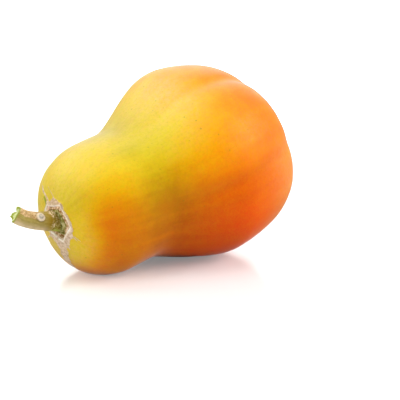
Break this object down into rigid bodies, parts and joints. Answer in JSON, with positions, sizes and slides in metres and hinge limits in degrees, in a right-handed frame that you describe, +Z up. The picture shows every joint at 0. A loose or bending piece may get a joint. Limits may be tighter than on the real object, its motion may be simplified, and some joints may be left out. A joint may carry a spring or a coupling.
{
  "type": "papaya",
  "caption": "Whole ripe papaya lying on its side: pear-shaped, softly lobed fruit with a corky stem pit and a short bent stub of stalk.",
  "frame": {"origin": "middle of the small flat spot under the belly that the fruit rests on", "axes": "+X from the stem end to the blossom end along the table, +Z up, -Y towards the front"},
  "size_m": [0.1846, 0.1066, 0.1083],
  "materials": {
    "skin": "smooth waxy satin fruit skin, golden yellow shading to yellow-green at the neck and to deep orange at the belly, with fine dark specks and a dry grey-beige corky collar round the stem pit",
    "stalk": "dull olive-green fibrous stalk with tan corky patches, a pale round leaf scar and a fresh green cut end"
  },
  "bodies": {
    "root": {"papaya_fruit": "skin", "papaya_stem": "stalk"}
  },
  "joints": []
}
